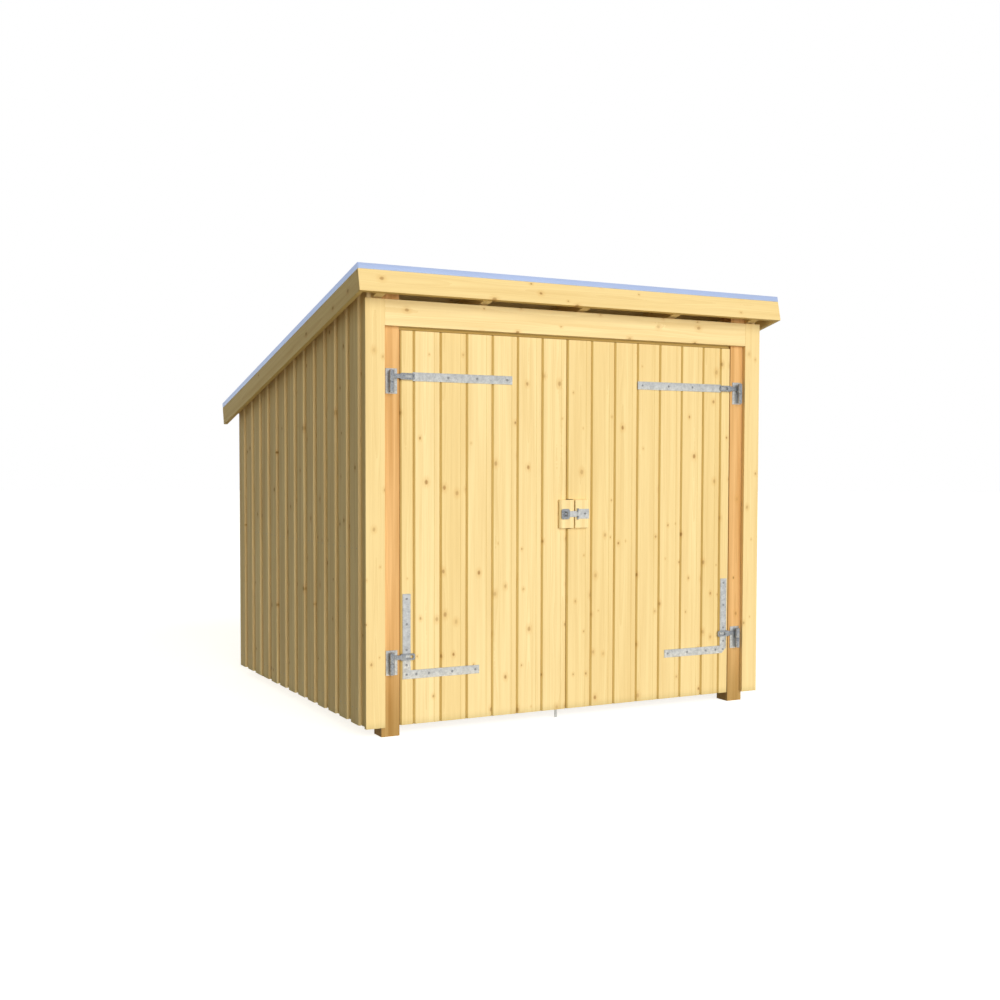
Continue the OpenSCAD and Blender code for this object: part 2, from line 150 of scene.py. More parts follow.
class ShelterSettings(bpy.types.PropertyGroup):
    """Everything that a user of this shelter may change"""

    boards: PointerProperty(type=ShelterBoards)
    metal: PointerProperty(type=ShelterMetal)
    colours: PointerProperty(type=ShelterColours)


def settings():
    """The shelter's settings in the open scene."""
    return bpy.context.scene.shelter


# ---- Places taken from the frame ----


def roof_turn():
    """Turns roof coordinates, with Y along the slope and Z off the deck, into the frame's."""
    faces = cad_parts["roof_deck"].data.polygons
    normal = max(faces, key=lambda face: (round(face.normal.z, 3), face.area)).normal
    return Matrix.Rotation(-math.atan2(normal.y, normal.z), 4, "X")


def roof_box(node):
    """Lowest and highest corner of a roof node in roof coordinates."""
    back = roof_turn().inverted()
    points = [back @ v.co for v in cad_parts[node].data.vertices]
    return Vector(map(min, *points)), Vector(map(max, *points))


def sloped_top(node):
    """A function that gives the height of a node's sloping top at a depth y."""
    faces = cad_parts[node].data.polygons
    face = max(faces, key=lambda f: (f.normal.z > FACING, f.center.z, f.area))
    point, normal = face.center.copy(), face.normal.copy()
    return lambda y: point.z - (y - point.y) * normal.y / normal.z


# ---- Materials ----


def fill_in(tree, node, inputs):
    """Links a node's inputs to sockets, or to a node's first output, or sets their values."""
    for key, value in inputs.items():
        if isinstance(value, bpy.types.Node):
            value = next(socket for socket in value.outputs if socket.enabled)
        if isinstance(value, bpy.types.NodeSocket):
            tree.links.new(value, node.inputs[key])
        else:
            node.inputs[key].default_value = value


def add(tree, kind, inputs, **values):
    """Adds a shader node with its settings, its values and its links."""
    node = tree.nodes.new("ShaderNode" + kind)
    for name, value in values.items():
        setattr(node, name, value)
    fill_in(tree, node, inputs)
    return node


def surface(name):
    """Turns a function that fills a node tree into one that gives the material, made only once.

    The function gets the tree, the surface shader, the colours and the object's own coordinates.
    """

    def wrap(build):
        def give():
            made = bpy.data.materials.get(name)
            if made is None:
                made = bpy.data.materials.new(name)
                made.use_nodes = True
                tree = made.node_tree
                place = add(tree, "TexCoord", {}).outputs["Object"]
                build(tree, tree.nodes["Principled BSDF"], settings().colours, place)
            return made

        return give

    return wrap


def wood(tree, shader, shades, place, early, late, pale, knots, streaks, darkened_to):
    """Softwood, from a solid pattern in each board's own coordinates.

    The attribute "grain" holds across, through and along in metres, measured from the tree's
    pith, "tone" holds one number for the whole board, and "shade" marks faces that take painted
    shade, the joint colour multiplied in where shade falls. The shares of knots and of streaks run
    from 0 to 1, and the last argument is the height in metres from which the wood grows darker
    towards the ground.
    """
    height = add(tree, "SeparateXYZ", {0: place})
    place = add(tree, "Attribute", {}, attribute_name="grain").outputs["Vector"]
    tone = add(tree, "Attribute", {}, attribute_name="tone").outputs["Fac"]

    # Knots run through the board: at most one in each 65 by 200 mm, 7 to 18 mm across
    across, along = 0.065, 0.2
    split = add(tree, "SeparateXYZ", {0: place})
    plane = add(tree, "CombineXYZ", {"X": split.outputs["X"], "Y": split.outputs["Z"]})
    cells = add(tree, "VectorMath", {0: plane, 1: (1 / across, 1 / along, 0)}, operation="MULTIPLY")
    spots = add(
        tree, "TexVoronoi", {"Vector": cells, "Scale": 1.0, "Randomness": 0.9},
        voronoi_dimensions="2D",
    )
    centre = add(
        tree, "VectorMath", {0: spots.outputs["Position"], 1: (across, along, 0)},
        operation="MULTIPLY",
    )
    away = add(tree, "VectorMath", {0: plane, 1: centre}, operation="SUBTRACT")
    oval = add(tree, "VectorMath", {0: away, 1: (1, 0.72, 0)}, operation="MULTIPLY")
    far = add(tree, "VectorMath", {0: oval}, operation="LENGTH")
    ragged = add(tree, "TexNoise", {"Vector": place, "Scale": 190.0, "Detail": 1.0})
    edge = add(tree, "Math", {0: ragged, 1: 0.004, 2: far}, operation="MULTIPLY_ADD")
    dice = add(tree, "SeparateColor", {"Color": spots.outputs["Color"]})
    radius = add(tree, "MapRange", {"Value": dice.outputs["Red"], "To Min": 0.0034, "To Max": 0.0090})
    ratio = add(tree, "Math", {0: edge, 1: radius}, operation="DIVIDE")
    chosen = add(tree, "Math", {0: dice.outputs["Green"], 1: knots}, operation="LESS_THAN")
    parts = []
    for outer, inner in ((1.5, 0.7), (3.6, 1.0)):
        part = add(
            tree, "MapRange", {"Value": ratio, "From Min": outer, "From Max": inner, "To Max": 1.0},
            interpolation_type="SMOOTHSTEP",
        )
        parts.append(add(tree, "Math", {0: part, 1: chosen}, operation="MULTIPLY"))
    core, halo = parts
    depth = add(tree, "MapRange", {"Value": dice.outputs["Blue"], "To Min": 0.2, "To Max": 0.85})

    # Growth rings: 4 mm apart, wandering slowly along the board and bending round the knots
    slow = add(tree, "VectorMath", {0: place, 1: (9, 9, 0.9)}, operation="MULTIPLY")
    wander = add(tree, "TexNoise", {"Vector": slow, "Scale": 1.0, "Detail": 2.0})
    sway = add(
        tree, "VectorMath", {0: wander.outputs["Color"], 1: (0.03, 0.03, 0)}, operation="MULTIPLY"
    )
    swayed = add(tree, "VectorMath", {0: place, 1: sway}, operation="ADD")
    push = add(tree, "CombineXYZ", {"X": halo})
    bend = add(tree, "VectorMath", {0: push, "Scale": 0.007}, operation="SCALE")
    bent = add(tree, "VectorMath", {0: swayed, 1: bend}, operation="ADD")
    rings = add(
        tree, "TexWave", {"Vector": bent, "Scale": 0.314 / 0.004, "Distortion": 0.6, "Detail": 1.0},
        wave_type="RINGS", rings_direction="Z", wave_profile="SAW",
    ).outputs["Fac"]

    # Streaks 10 to 40 mm wide and fibres under 1 mm, both long along the board
    long = add(tree, "VectorMath", {0: place, 1: (38, 38, 1.1)}, operation="MULTIPLY")
    streak = add(tree, "TexNoise", {"Vector": long, "Scale": 1.0, "Detail": 3.0})
    soft = add(tree, "MapRange", {"Value": streak, "From Min": 0.35, "From Max": 0.72})
    thin = add(tree, "VectorMath", {0: place, 1: (900, 900, 14)}, operation="MULTIPLY")
    fibre = add(tree, "TexNoise", {"Vector": thin, "Scale": 1.0, "Detail": 2.0})
    fine = add(tree, "MapRange", {"Value": fibre, "To Min": 0.93, "To Max": 1.06})

    # The wood grows darker towards the ground
    ground_darkening = add(
        tree, "MapRange",
        {"Value": height.outputs["Z"], "From Min": darkened_to, "From Max": 0.0, "To Max": 0.7},
        interpolation_type="SMOOTHSTEP",
    )
    # Painted shade: the joint colour darkens the faces marked in "shade"
    painted_shade_share = add(tree, "Attribute", {}, attribute_name="shade").outputs["Fac"]

    # The board's own tone, then streaks and rings, then fibres, knots, darkening towards the
    # ground, and painted shade on the marked faces
    base = add(tree, "Mix", {0: tone, 6: early, 7: pale}, data_type="RGBA")
    for pattern, share in ((soft, streaks), (rings, 0.3)):
        amount = add(tree, "Math", {0: pattern, 1: share}, operation="MULTIPLY")
        base = add(tree, "Mix", {0: amount, 6: base, 7: late}, data_type="RGBA")
    base = add(tree, "VectorMath", {0: base, "Scale": fine}, operation="SCALE")
    for pattern, share, shade in ((halo, 0.28, shades.knot_halo), (core, depth, shades.knot)):
        amount = add(tree, "Math", {0: pattern, 1: share}, operation="MULTIPLY")
        base = add(tree, "Mix", {0: amount, 6: base, 7: shade}, data_type="RGBA")
    for amount, shade in ((ground_darkening, shades.ground_darkening), (painted_shade_share, shades.joint)):
        base = add(
            tree, "Mix", {0: amount, 6: base, 7: shade}, data_type="RGBA", blend_type="MULTIPLY"
        )

    # Late wood stands a little proud, and streaks and fibres break up the sheen
    relief = add(tree, "Math", {0: rings, 1: 0.5, 2: fibre}, operation="MULTIPLY_ADD")
    bump = add(tree, "Bump", {"Height": relief, "Strength": 0.25, "Distance": 0.0004})
    sheen = add(tree, "MapRange", {"Value": streak, "To Min": 0.5, "To Max": 0.72})
    fill_in(
        tree, shader,
        {"Base Color": base, "Normal": bump, "Roughness": sheen, "Specular IOR Level": 0.15},
    )


@surface("planed_spruce")
def planed_spruce(tree, shader, shades, place):
    """Planed, untreated spruce: pale straw yellow, matt, with small brown knots."""
    shade = shades.spruce, shades.spruce_late, shades.spruce_pale
    wood(tree, shader, shades, place, *shade, knots=0.38, streaks=0.45, darkened_to=0.09)


@surface("fine_sawn_spruce")
def sawn_spruce(tree, shader, shades, place):
    """Fine-sawn spruce of the cladding: pale sapwood whose streaks stand out, as it isn't planed."""
    shade = shades.sawn, shades.sawn_late, shades.spruce_pale
    wood(tree, shader, shades, place, *shade, knots=0.28, streaks=0.6, darkened_to=0.09)


@surface("pine_heartwood")
def heart_pine(tree, shader, shades, place):
    """Sawn pine heartwood: an orange brown, with strong streaks along the post."""
    shade = shades.post, shades.post_late, shades.post
    wood(tree, shader, shades, place, *shade, knots=0.12, streaks=0.95, darkened_to=0.5)


@surface("galvanised_steel")
def galvanised_steel(tree, shader, shades, place):
    """Hot-dip galvanised steel: dull light grey, with zinc crystals 6 mm across and faint scuffs."""
    crystals = add(tree, "TexVoronoi", {"Vector": place, "Scale": 1 / 0.006})
    clouds = add(tree, "TexNoise", {"Vector": place, "Scale": 45.0, "Detail": 4.0})
    grey = add(tree, "SeparateColor", {"Color": crystals.outputs["Color"]})
    blend = add(tree, "Math", {0: grey, 1: 0.35, 2: clouds}, operation="MULTIPLY_ADD")
    share = add(tree, "MapRange", {"Value": blend, "From Min": 0.3, "From Max": 1.1})
    mixed = add(tree, "Mix", {0: share, 6: shades.zinc, 7: shades.zinc_dark}, data_type="RGBA")
    rough = add(tree, "MapRange", {"Value": blend, "From Min": 0.3, "To Min": 0.38, "To Max": 0.6})
    bump = add(tree, "Bump", {"Height": clouds, "Strength": 0.2, "Distance": 0.0003})
    fill_in(tree, shader, {"Base Color": mixed, "Normal": bump, "Roughness": rough, "Metallic": 0.85})


@surface("zinc_plated_screw")
def plated_screw(tree, shader, shades, place):
    """Zinc-plated screw steel: smoother and darker than the straps, with fine turning marks."""
    marks = add(tree, "TexNoise", {"Vector": place, "Scale": 900.0, "Detail": 2.0})
    mixed = add(tree, "Mix", {0: marks, 6: shades.screw, 7: shades.zinc_dark}, data_type="RGBA")
    rough = add(tree, "MapRange", {"Value": marks, "To Min": 0.3, "To Max": 0.5})
    fill_in(tree, shader, {"Base Color": mixed, "Roughness": rough, "Metallic": 1.0})


@surface("galvanised_forged_rod")
def rod_painted_shade(tree, shader, shades, place):
    """Forged and galvanised eye and loop of a hinge, and the latch's knuckles, staple and flap end:
    bluish grey, darker than the flat straps, which is painted shade.
    """
    scale = add(tree, "TexNoise", {"Vector": place, "Scale": 160.0, "Detail": 3.0})
    share = add(tree, "MapRange", {"Value": scale, "From Min": 0.35, "From Max": 0.7})
    mixed = add(tree, "Mix", {0: share, 6: shades.rod, 7: shades.zinc_dark}, data_type="RGBA")
    bump = add(tree, "Bump", {"Height": scale, "Strength": 0.3, "Distance": 0.0004})
    fill_in(tree, shader, {"Base Color": mixed, "Normal": bump, "Roughness": 0.42, "Metallic": 0.9})


@surface("enamelled_sheet_steel")
def enamelled_edging(tree, shader, shades, place):
    """Sheet steel with a metallic baked enamel: pale blue, satin, with slight fading."""
    patches = add(tree, "TexNoise", {"Vector": place, "Scale": 3.0, "Detail": 5.0})
    shade = add(tree, "MapRange", {"Value": patches, "To Min": 0.9, "To Max": 1.08})
    faded = add(tree, "VectorMath", {0: shades.edging[:3], "Scale": shade}, operation="SCALE")
    peel = add(tree, "TexNoise", {"Vector": place, "Scale": 700.0, "Detail": 1.0})
    bump = add(tree, "Bump", {"Height": peel, "Strength": 0.1, "Distance": 0.0002})
    rough = add(tree, "MapRange", {"Value": patches, "To Min": 0.34, "To Max": 0.5})
    fill_in(tree, shader, {"Base Color": faded, "Normal": bump, "Roughness": rough, "Metallic": 0.7})


@surface("mineral_roofing_felt")
def mineral_felt(tree, shader, shades, place):
    """Bitumen felt with slate granules: dark grey, rough, drawn with 3 mm grains so that they show."""
    grains = add(tree, "TexVoronoi", {"Vector": place, "Scale": 1 / 0.003})
    grain = add(tree, "SeparateColor", {"Color": grains.outputs["Color"]})
    stains = add(tree, "TexNoise", {"Vector": place, "Scale": 1.6, "Detail": 5.0})
    mixed = add(tree, "Math", {0: grain, 1: 0.55, 2: stains}, operation="MULTIPLY_ADD")
    shade = add(
        tree, "MapRange",
        {"Value": mixed, "From Min": 0.3, "From Max": 1.2, "To Min": 0.55, "To Max": 1.5},
    )
    graded = add(tree, "VectorMath", {0: shades.felt[:3], "Scale": shade}, operation="SCALE")
    bump = add(
        tree, "Bump", {"Height": grains, "Strength": 0.6, "Distance": 0.0012}, invert=True
    )
    fill_in(tree, shader, {"Base Color": graded, "Normal": bump, "Roughness": 0.92})


@surface("matt_studio_floor")
def studio_floor(tree, shader, shades, place):
    """Matt backlit studio floor: nearly white, with a very slight cloudiness."""
    clouds = add(tree, "TexNoise", {"Vector": place, "Scale": 0.4, "Detail": 2.0})
    shade = add(tree, "MapRange", {"Value": clouds, "To Min": 0.98, "To Max": 1.02})
    tinted = add(tree, "VectorMath", {0: shades.floor[:3], "Scale": shade}, operation="SCALE")
    fill_in(
        tree, shader,
        {"Base Color": tinted, "Roughness": 0.9, "Emission Color": tinted, "Emission Strength": 0.88},
    )


# ---- Making pieces ----


def piece(name, bm, body, material, replaced=(), turn=None, smooth=38):
    """Turns a bmesh into a finished piece that rides on a body and may stand for CAD nodes.

    Faces that meet at fewer degrees than smooth are shaded as one curved surface.
    """
    if turn is not None:
        bmesh.ops.transform(bm, matrix=turn, verts=bm.verts)
    mesh = bpy.data.meshes.new(name)
    bm.to_mesh(mesh)
    bm.free()
    mesh.shade_smooth()
    mesh.set_sharp_from_angle(angle=math.radians(smooth))
    mesh.materials.append(material)
    made = bpy.data.objects.new(name, mesh)
    bpy.context.scene.collection.objects.link(made)
    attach(made, body)
    if replaced:
        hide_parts(*replaced)
    return made


def parts_of(items, kind):
    """The "link_edges", "link_faces" or "edges" of some items, each once and in a fixed order."""
    return list(dict.fromkeys(part for item in items for part in getattr(item, kind)))


def solids_of(verts):
    """All vertices of the solids that some vertices belong to."""
    found, newest = set(verts), set(verts)
    while newest:
        newest = {e.other_vert(v) for v in newest for e in v.link_edges} - found
        found |= newest
    return found


def sharp_edges(faces, degrees=30):
    """The edges where two of these faces meet at more than an angle."""
    limit = math.radians(degrees)
    edges = parts_of(faces, "edges")
    return [e for e in edges if len(e.link_faces) == 2 and e.calc_face_angle() > limit]


def ease(bm, edges, width, segments=2):
    """Rounds edges as planing, sanding or rolling leaves them; returns the new faces."""
    return bmesh.ops.bevel(
        bm, geom=edges, offset=width, segments=segments, profile=0.5, affect="EDGES",
        material=-1, clamp_overlap=True,
    )["faces"]


def new_box(bm, low, high):
    """A box between two corners; returns its vertices."""
    made = bmesh.ops.create_cube(bm, size=1.0)["verts"]
    bmesh.ops.scale(bm, vec=high - low, verts=made)
    bmesh.ops.translate(bm, vec=(low + high) / 2, verts=made)
    return made


def copy_node(bm, node, turn=None):
    """Fills an empty bmesh with a merged copy of a CAD node; a turn is taken out of it."""
    bm.from_mesh(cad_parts[node].data)
    bmesh.ops.remove_doubles(bm, verts=bm.verts, dist=TOUCHING)
    # The order of the edges decides how flat faces join, so it is a fixed one
    edges = sorted(bm.edges, key=lambda edge: edge.calc_length())
    bmesh.ops.dissolve_limit(bm, angle_limit=math.radians(0.5), verts=bm.verts, edges=edges)
    if turn is not None:
        bmesh.ops.transform(bm, matrix=turn.inverted(), verts=bm.verts)


class Timber:
    """A bmesh of boards, in which each board gets its own place in a log and its own tone."""

    def __init__(self, seed, darkest=0.02, palest=1.0):
        self.tones = darkest, palest
        self.bm = bmesh.new()
        self.grain = self.bm.verts.layers.float_vector.new("grain")
        self.tone = self.bm.verts.layers.float.new("tone")
        self.shade = self.bm.faces.layers.float.new("shade")
        self.dice = random.Random(seed)
        self.arris = settings().boards.arris

    def fresh(self):
        """Vertices that belong to no finished board yet."""
        return [v for v in self.bm.verts if v[self.tone] == 0.0]

    def settle(self, axis):
        """Gives each new separate solid its grain, along an axis, and its tone."""
        done = set()
        for first in self.fresh():
            if first not in done:
                island = solids_of([first])
                self.settle_board(island, axis)
                done |= island

    def settle_board(self, verts, axis):
        """Lays one board's grain: its broad side faces the pith, which lies outside the board."""
        low = Vector(map(min, *[v.co for v in verts]))
        high = Vector(map(max, *[v.co for v in verts]))
        size, middle = high - low, (low + high) / 2
        cross = sorted((i for i in range(3) if i != axis), key=lambda i: -size[i])
        pith = (
            self.dice.uniform(-0.4, 0.4) * size[cross[0]],
            self.dice.choice((-1, 1)) * self.dice.uniform(0.02, 0.09),
            self.dice.uniform(2, 60),
        )
        tone = self.dice.uniform(*self.tones)
        for v in verts:
            at = v.co - middle
            v[self.grain] = (at[cross[0]] + pith[0], at[cross[1]] + pith[1], at[axis] + pith[2])
            v[self.tone] = tone

    def board(self, low, high, axis, top=None):
        """A planed board between two corners; top gives the height of a sloping end."""
        made = new_box(self.bm, Vector(low), Vector(high))
        if top is not None:
            for v in made:
                if v.co.z > (low[2] + high[2]) / 2:
                    v.co.z = top(v.co.y)
        ease(self.bm, parts_of(made, "link_edges"), self.arris)
        self.settle(axis)

    def node(self, name, axis, turn=None):
        """A CAD timber with its edges eased."""
        copy_node(self.bm, name, turn)
        ease(self.bm, sharp_edges(self.bm.faces), self.arris)
        self.settle(axis)

    def paint_shade(self, amount, below=False):
        """Marks every face, or those that face down, for painted shade by an amount up to 1."""
        for face in self.bm.faces:
            if not below or face.normal.z < -FACING:
                face[self.shade] = amount

    def piece(self, name, body, slot, material, replaced, turn=None):
        """Finishes the boards as one piece."""
        return piece(name, self.bm, body, material, replaced, turn, smooth=12)

    def planed(self, name, body="shelter", turn=None):
        """Finishes the boards as the planed spruce that stands for a CAD node."""
        self.piece(name + "_planed", body, "planed_timber", planed_spruce(), [name], turn)


# ---- Timber pieces ----


def planed_node(seed, name, axis, body="shelter", turn=None, shade_below=False):
    """Stands planed spruce for a CAD node, if asked with painted shade on its underside."""
    timber = Timber(seed)
    timber.node(name, axis, turn)
    if shade_below:
        timber.paint_shade(1.0, below=True)
    timber.planed(name, body, turn)


class SHELTER_OT_posts(bpy.types.Operator):
    """Four square posts of sawn heartwood with eased edges"""

    bl_idname = "shelter.posts"
    bl_label = "Posts"

    def execute(self, context):
        for i, place in enumerate(("front_left", "front_right", "back_left", "back_right")):
            name = place + "_post"
            timber = Timber(20 + i)
            timber.node(name, UP)
            timber.piece(name + "_sawn", "shelter", "post_timber", heart_pine(), [name])
        return {"FINISHED"}


class SHELTER_OT_frame_timber(bpy.types.Operator):
    """Rails, beams and rafters of the frame"""

    bl_idname = "shelter.frame_timber"
    bl_label = "Frame timber"

    def execute(self, context):
        level = {
            "left_wall_rails": DEPTH, "right_wall_rails": DEPTH, "back_wall_rails": ACROSS,
            "front_beam": ACROSS, "back_beam": ACROSS,
        }
        for i, (name, axis) in enumerate(level.items()):
            planed_node(40 + i, name, axis)
        for i, name in enumerate(("left_end_rafter", "right_end_rafter", "middle_rafters")):
            planed_node(60 + i, name, DEPTH, turn=roof_turn())
        return {"FINISHED"}


class SHELTER_OT_trim_boards(bpy.types.Operator):
    """Corner boards, header, fascias and bargeboards"""

    bl_idname = "shelter.trim_boards"
    bl_label = "Trim boards"

    # The lath over the doors: its height over the leaves, its thickness, its gap to the header
    clearance = 0.003
    lath = 0.015
    back = 0.012

    def execute(self, context):
        upright = {"left_corner_board": UP, "right_corner_board": UP, "front_header": ACROSS}
        for i, (name, axis) in enumerate(upright.items()):
            planed_node(80 + i, name, axis)
        self.head_stop()
        sloping = {
            "front_fascia": ACROSS, "back_fascia": ACROSS,
            "left_bargeboard": DEPTH, "right_bargeboard": DEPTH,
        }
        # The fascias and bargeboards get painted shadow on their undersides
        for i, (name, axis) in enumerate(sloping.items()):
            planed_node(90 + i, name, axis, turn=roof_turn(), shade_below=True)
        return {"FINISHED"}

    def head_stop(self):
        """A lath behind the header that narrows the gap over the doors; the leaves clear it."""
        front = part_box("front_header")[1].y + self.back
        leaf_top = max(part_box(side + "_leaf_boards")[1].z for side in ("left", "right"))
        timber = Timber(88)
        timber.board(
            (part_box("front_left_post")[1].x, front, leaf_top + self.clearance),
            (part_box("front_right_post")[0].x, front + self.lath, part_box("front_beam")[0].z),
            ACROSS,
        )
        # Painted shade all over the lath, which sits in the gap over the doors
        timber.paint_shade(1.0)
        timber.piece("door_head_stop", "shelter", "planed_timber", planed_spruce(), [])


def lapped_rows(low, high, start, pitch):
    """Where the outer and the inner boards of a lapped wall lie along it: two lists of ends.

    An inner strip that is hardly wider than its rounded edges is left out.
    """
    boards = settings().boards
    half = boards.clad_w / 2
    outer, inner = [], []
    at = low + start
    gap = pitch - boards.clad_w
    while at < high:
        middle = at - gap / 2
        inner.append((max(low, middle - half), min(high, middle + half)))
        if at + boards.clad_w <= high + EXACT:
            outer.append((at, at + boards.clad_w))
        at += pitch
    last = outer[-1][1] + gap / 2
    if last - half > inner[-1][0] + EXACT and last < high:
        inner.append((last - half, min(high, last + half)))
    return outer, [ends for ends in inner if ends[1] - ends[0] > boards.arris * 4]


def side_walls():
    """Name, outer layer and inner layer of each side wall; a layer is its two x values."""
    found = []
    for name in ("left_wall", "right_wall"):
        low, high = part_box(name)
        thick = (high.x - low.x) * OUTER_SHARE
        if low.x < 0:
            found.append((name, (low.x, low.x + thick), (low.x + thick, high.x)))
        else:
            found.append((name, (high.x - thick, high.x), (low.x, high.x - thick)))
    return found


class SHELTER_OT_cladding(bpy.types.Operator):
    """Board on board cladding of the two sides and the back"""

    bl_idname = "shelter.cladding"
    bl_label = "Cladding"

    # The darkest tone of a board, and how far the boards' feet differ
    darkest = 0.45
    uneven = 0.003

    def execute(self, context):
        boards = settings().boards
        for i, (name, outer_x, inner_x) in enumerate(side_walls()):
            timber = Timber(100 + i, self.darkest)
            low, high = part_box(name)
            top = sloped_top(name)
            outer, inner = lapped_rows(low.y, high.y, boards.clad_start, boards.clad_pitch)
            for x, rows in ((outer_x, outer), (inner_x, inner)):
                for y0, y1 in rows:
                    foot = low.z + timber.dice.uniform(0, self.uneven)
                    timber.board((x[0], y0, foot), (x[1], y1, high.z), UP, top)
            lath = inner[-1][1]
            timber.board((inner_x[0], lath, low.z), (inner_x[1], high.y, high.z), UP, top)
            timber.piece(name + "_boards", "shelter", "cladding", sawn_spruce(), [name])
        timber = Timber(110, self.darkest)
        low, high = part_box("back_wall")
        middle = (low.y + high.y) / 2
        count = round((high.x - low.x - boards.clad_w) / boards.clad_pitch)
        pitch = (high.x - low.x - boards.clad_w) / count
        outer, inner = lapped_rows(low.x, high.x, 0.0, pitch)
        for y, rows in (((middle, high.y), outer), ((low.y, middle), inner)):
            for x0, x1 in rows:
                foot = low.z + timber.dice.uniform(0, self.uneven)
                timber.board((x0, y[0], foot), (x1, y[1], high.z), UP)
        timber.piece("back_wall_boards", "shelter", "cladding", sawn_spruce(), ["back_wall"])
        return {"FINISHED"}


class SHELTER_OT_roof_deck(bpy.types.Operator):
    """Deck boards under the felt, darkened all over with painted shade"""

    bl_idname = "shelter.roof_deck"
    bl_label = "Roof deck"

    def execute(self, context):
        timber = Timber(120)
        low, high = roof_box("roof_deck")
        count = round((high.y - low.y) / settings().boards.deck_cover)
        cover = (high.y - low.y) / count
        for i in range(count):
            start = low.y + i * cover
            timber.board((low.x, start, low.z), (high.x, start + cover, high.z), ACROSS)
        # Painted shade on every face of the deck darkens the gap under the eaves
        timber.paint_shade(0.8)
        timber.piece(
            "roof_deck_boards", "shelter", "deck_board", planed_spruce(), ["roof_deck"], roof_turn()
        )
        return {"FINISHED"}


def door_board(timber, outline, y0, y1, seams):
    """A tongued door board with V joints at its seams and a fine bead in its face."""
    boards = settings().boards
    bm = timber.bm
    face = bm.faces.new([bm.verts.new((x, y0, z)) for x, z in outline])
    grown = bmesh.ops.extrude_face_region(bm, geom=[face])
    moved = [v for v in grown["geom"] if isinstance(v, bmesh.types.BMVert)]
    bmesh.ops.translate(bm, vec=(0, y1 - y0, 0), verts=moved)
    bmesh.ops.recalc_face_normals(bm, faces=parts_of(timber.fresh(), "link_faces"))

    def in_front(v, x):
        return abs(v.co.x - x) < TOUCHING and abs(v.co.y - y0) < TOUCHING

    front = [e for e in bm.edges if any(all(in_front(v, x) for v in e.verts) for x in seams)]
    # The V joints' chamfers take painted shade
    for face in ease(bm, front, boards.vee, 1):
        face[timber.shade] = 1.0
    left, right = min(x for x, z in outline), max(x for x, z in outline)
    bead_x = right - boards.bead_in
    # A ripped board is too narrow for a bead
    if right - left > 3 * boards.bead_in:
        for offset in (-2, 0, 2):
            fresh = timber.fresh()
            geom = fresh + parts_of(fresh, "link_edges") + parts_of(fresh, "link_faces")
            at = (bead_x + offset * boards.bead, 0, 0)
            bmesh.ops.bisect_plane(bm, geom=geom, plane_co=at, plane_no=(1, 0, 0))
        # The bead's front faces take some painted shade, so that it shows as a faint line
        for v in timber.fresh():
            if in_front(v, bead_x):
                v.co.y += boards.bead
                for face in v.link_faces:
                    if face.normal.y < -FACING:
                        face[timber.shade] = 0.35
    # The other edges are eased less than a loose board's, and the bead's stay as they are
    edges = sharp_edges(parts_of(timber.fresh(), "link_faces"), 40)
    ease(bm, edges, boards.arris * 0.6)
    timber.settle(UP)


class SHELTER_OT_leaf_boards(bpy.types.Operator):
    """The boards of the two door leaves"""

    bl_idname = "shelter.leaf_boards"
    bl_label = "Door boards"

    # A tongue's reach into each board, and its distances from the boards' backs and ends
    reach = 0.006
    from_back = 0.003
    from_end = 0.002

    def execute(self, context):
        boards = settings().boards
        block_low, block_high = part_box("left_latch_block")
        notch_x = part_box("right_latch_block")[0].x
        # Node, body, width of the ripped board at its left, seed and palest tone of each leaf
        leaves = (
            ("left_leaf_boards", "left_door", boards.left_rip, 130, 0.85),
            ("right_leaf_boards", "right_door", 0.0, 131, 0.5),
        )
        for name, body, first, seed, palest in leaves:
            timber = Timber(seed, palest=palest)
            low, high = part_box(name)
            seams = [low.x]
            at = low.x + (first or boards.door_cover)
            last = high.x - (0 if first else boards.right_rip)
            while at < last - boards.door_cover / 2:
                seams.append(at)
                at += boards.door_cover
            if not first:
                seams.append(last)
            seams.append(high.x)
            if first:
                seams[-1] += boards.lip
            else:
                seams[0] -= boards.lip
            half = boards.seam / 2
            for i in range(len(seams) - 1):
                x0 = seams[i] + (half if i else 0)
                x1 = seams[i + 1] - (half if i < len(seams) - 2 else 0)
                outline = [(x0, low.z), (x1, low.z), (x1, high.z), (x0, high.z)]
                if x0 < notch_x < x1:
                    top, foot = block_high.z + boards.lip, block_low.z - boards.lip
                    outline += [(x0, top), (notch_x, top), (notch_x, foot), (x0, foot)]
                chamfered = [x for x in (x0, x1) if first or x != seams[-1]]
                door_board(timber, outline, low.y, high.y, chamfered)
                if i:
                    back = high.y - self.from_back
                    timber.board(
                        (seams[i] - self.reach, back - boards.tongue, low.z + self.from_end),
                        (seams[i] + self.reach, back, high.z - self.from_end), UP,
                    )
            timber.planed(name, body)
        return {"FINISHED"}


class SHELTER_OT_leaf_ledges(bpy.types.Operator):
    """Ledges and braces on the backs of the leaves, and the latch blocks"""

    bl_idname = "shelter.leaf_ledges"
    bl_label = "Ledges and latch blocks"

    # Width of the chamfer on a latch block's outer edge
    chamfer = 0.008

    def execute(self, context):
        for i, side in enumerate(("left", "right")):
            planed_node(140 + i, side + "_leaf_ledges", ACROSS, side + "_door")
            timber = Timber(163 + 4 * i)
            name = side + "_latch_block"
            low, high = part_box(name)
            outer = low.x if i == 0 else high.x
            copy_node(timber.bm, name)
            slope = [
                e for e in sharp_edges(timber.bm.faces)
                if all(abs(v.co.x - outer) + abs(v.co.y - low.y) < EXACT for v in e.verts)
            ]
            ease(timber.bm, slope, self.chamfer, 1)
            ease(timber.bm, sharp_edges(timber.bm.faces), timber.arris)
            timber.settle(UP)
            timber.planed(name, side + "_door")
        return {"FINISHED"}


# ---- Roof covering ----


